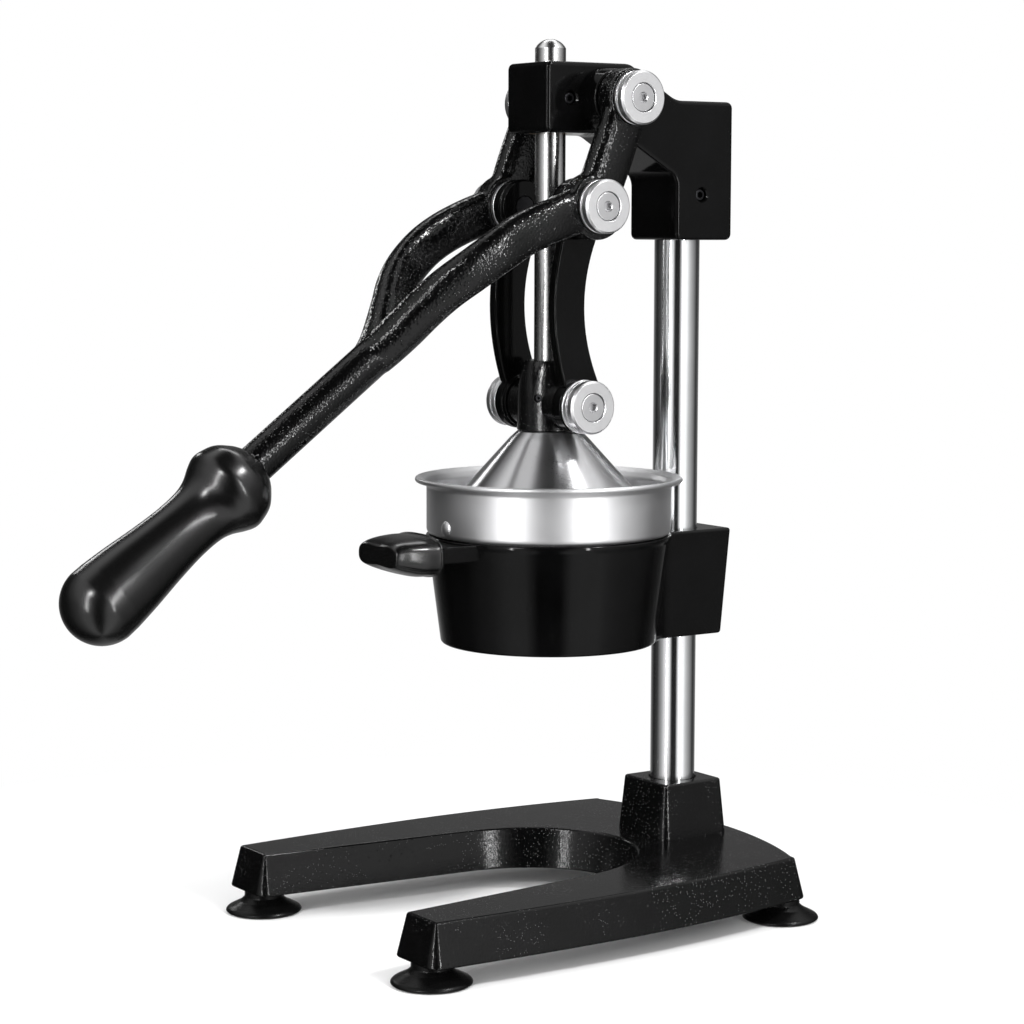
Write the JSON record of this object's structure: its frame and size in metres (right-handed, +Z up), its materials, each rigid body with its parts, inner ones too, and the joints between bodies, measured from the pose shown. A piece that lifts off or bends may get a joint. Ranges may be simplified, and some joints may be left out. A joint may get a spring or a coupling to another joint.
{
  "type": "lever citrus juice press",
  "caption": "Hand lever citrus juice press: forked lever, paired links and a guided cone over a funnel on a column stand with a forked base.",
  "frame": {"origin": "middle of the footprint of the whole press, on the surface it stands on", "axes": "+Z up along the column and the guide rod; -Y is the front, where the lever, the cup grip and the open end of the base point; X is across the press, with its mirror plane at x = 0"},
  "size_m": [0.193, 0.3636, 0.42],
  "materials": {
    "black_hammertone": "black hammertone paint over cast iron, glossy with fine pebbled bumps",
    "satin_black": "smooth satin black powder coat on castings",
    "chrome_column": "bright mirror chrome plating",
    "brushed_rod": "fine ground steel",
    "stainless_sheet": "satin stainless sheet with a fine turned grain",
    "brushed_aluminium": "fine turned aluminium",
    "dark_steel": "plain machined steel",
    "bronze_bush": "oiled sintered bronze",
    "black_rubber": "glossy black moulded rubber",
    "black_phenolic": "glossy black moulded plastic"
  },
  "bodies": {
    "stand": {"base_casting": "black_hammertone", "head_casting": "satin_black", "cup_casting": "satin_black", "column": "chrome_column", "funnel": "stainless_sheet", "funnel_spout": "stainless_sheet", "strainer": "stainless_sheet", "column_bolt": "dark_steel", "column_washer": "dark_steel", "column_set_screw": "dark_steel", "bush_set_screw": "dark_steel", "cup_set_screw": "dark_steel", "foot_stud_front_right": "dark_steel", "foot_stud_front_left": "dark_steel", "foot_stud_rear_right": "dark_steel", "foot_stud_rear_left": "dark_steel", "rod_guide_bush": "bronze_bush", "suction_foot_front_right": "black_rubber", "suction_foot_front_left": "black_rubber", "suction_foot_rear_right": "black_rubber", "suction_foot_rear_left": "black_rubber", "cup_grip": "black_phenolic"},
    "lever": {"lever_casting": "black_hammertone", "lever_grip": "black_phenolic", "upper_pivot_shaft": "dark_steel", "upper_cap_right": "brushed_aluminium", "upper_cap_left": "brushed_aluminium", "upper_cap_screw_right": "dark_steel", "upper_cap_screw_left": "dark_steel", "middle_pin_outer_right": "dark_steel", "middle_pin_outer_left": "dark_steel", "middle_washer_right": "brushed_aluminium", "middle_washer_left": "brushed_aluminium", "middle_cap_right": "brushed_aluminium", "middle_cap_left": "brushed_aluminium", "middle_cap_screw_right": "dark_steel", "middle_cap_screw_left": "dark_steel"},
    "plunger": {"guide_rod": "brushed_rod", "press_hub": "satin_black", "hub_set_screw": "dark_steel", "press_cone": "stainless_sheet", "cone_washer": "dark_steel", "cone_nut": "dark_steel", "lower_pivot_pin_right": "dark_steel", "lower_pivot_pin_left": "dark_steel", "lower_washer_right": "brushed_aluminium", "lower_washer_left": "brushed_aluminium", "lower_cap_right": "brushed_aluminium", "lower_cap_left": "brushed_aluminium", "lower_cap_screw_right": "dark_steel", "lower_cap_screw_left": "dark_steel"},
    "link_right": {"link_right": "satin_black", "middle_pin_inner_right": "dark_steel"},
    "link_left": {"link_left": "satin_black", "middle_pin_inner_left": "dark_steel"}
  },
  "joints": [
    {"name": "lever_pivot", "type": "hinge", "parent": "stand", "child": "lever", "pos_m": [0, 0.091, 0.39148], "axis": [-1, 0, 0], "range_deg": [0, 97]},
    {"name": "plunger_slide", "type": "slide", "parent": "stand", "child": "plunger", "axis": [0, 0, 1], "range_m": [0, 0.08035]},
    {"name": "link_right_pivot", "type": "hinge", "parent": "plunger", "child": "link_right", "pos_m": [0, 0.07223, 0.24784], "axis": [1, 0, 0], "range_deg": [0, 17.21]},
    {"name": "link_left_pivot", "type": "hinge", "parent": "plunger", "child": "link_left", "pos_m": [0, 0.07223, 0.24784], "axis": [1, 0, 0], "range_deg": [0, 17.21]}
  ],
  "couplings": [
    {"joint": "plunger_slide", "follows": "lever_pivot", "m_per_rad": 0.047458},
    {"joint": "link_right_pivot", "follows": "lever_pivot", "ratio": 0.17736},
    {"joint": "link_left_pivot", "follows": "lever_pivot", "ratio": 0.17736}
  ]
}
